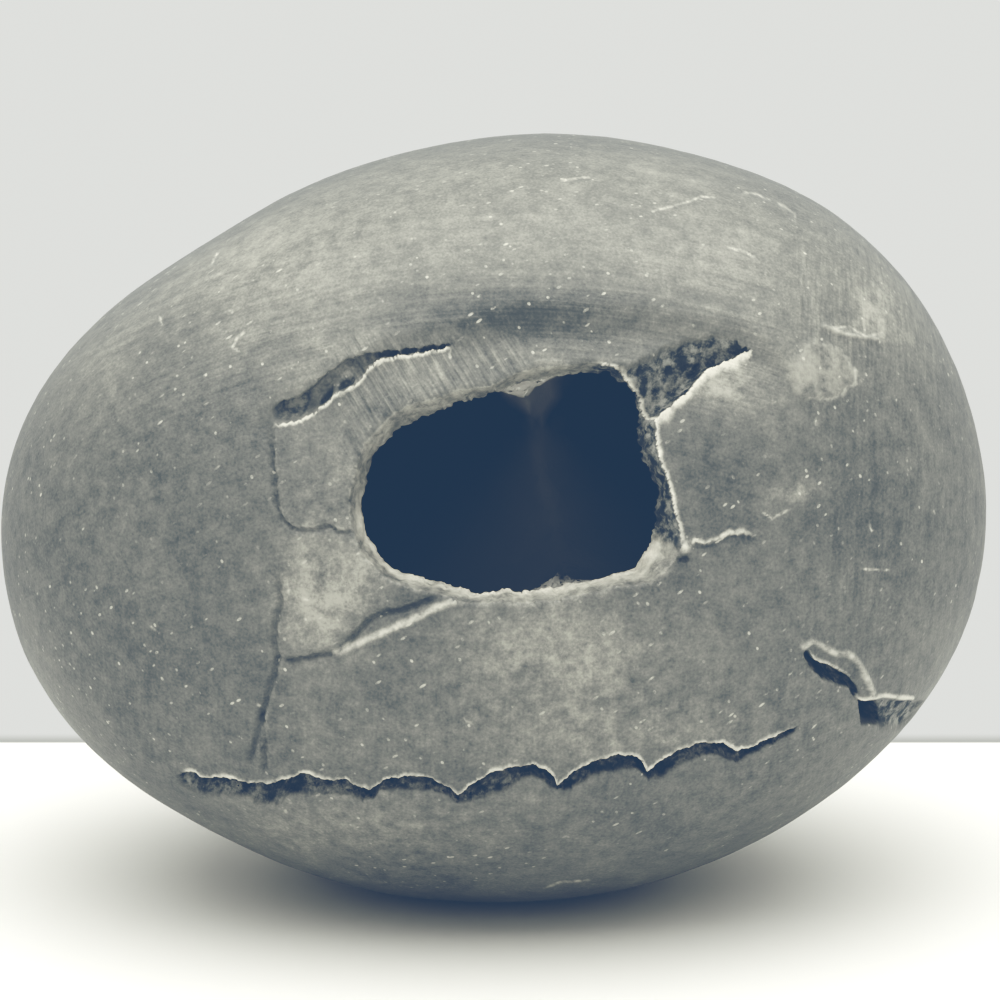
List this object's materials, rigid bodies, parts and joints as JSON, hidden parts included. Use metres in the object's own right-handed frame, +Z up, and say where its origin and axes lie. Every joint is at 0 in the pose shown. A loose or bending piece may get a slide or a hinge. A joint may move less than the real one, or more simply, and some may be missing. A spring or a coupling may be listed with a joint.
{
  "type": "shaligram stone",
  "caption": "Smooth river-worn ovoid stone with a broken mouth that opens on a hollow of two lobes, and cracks across its front.",
  "frame": {"origin": "middle of the bounding box, at the height of the worn flat spot that the stone rests on", "axes": "+X along the stone, towards its blunter end; +Z up; the broken mouth faces -Y"},
  "size_m": [0.0794, 0.056, 0.0611],
  "materials": {
    "worn_stone": "satin"
  },
  "bodies": {
    "root": {"stone": "worn_stone"}
  },
  "joints": []
}
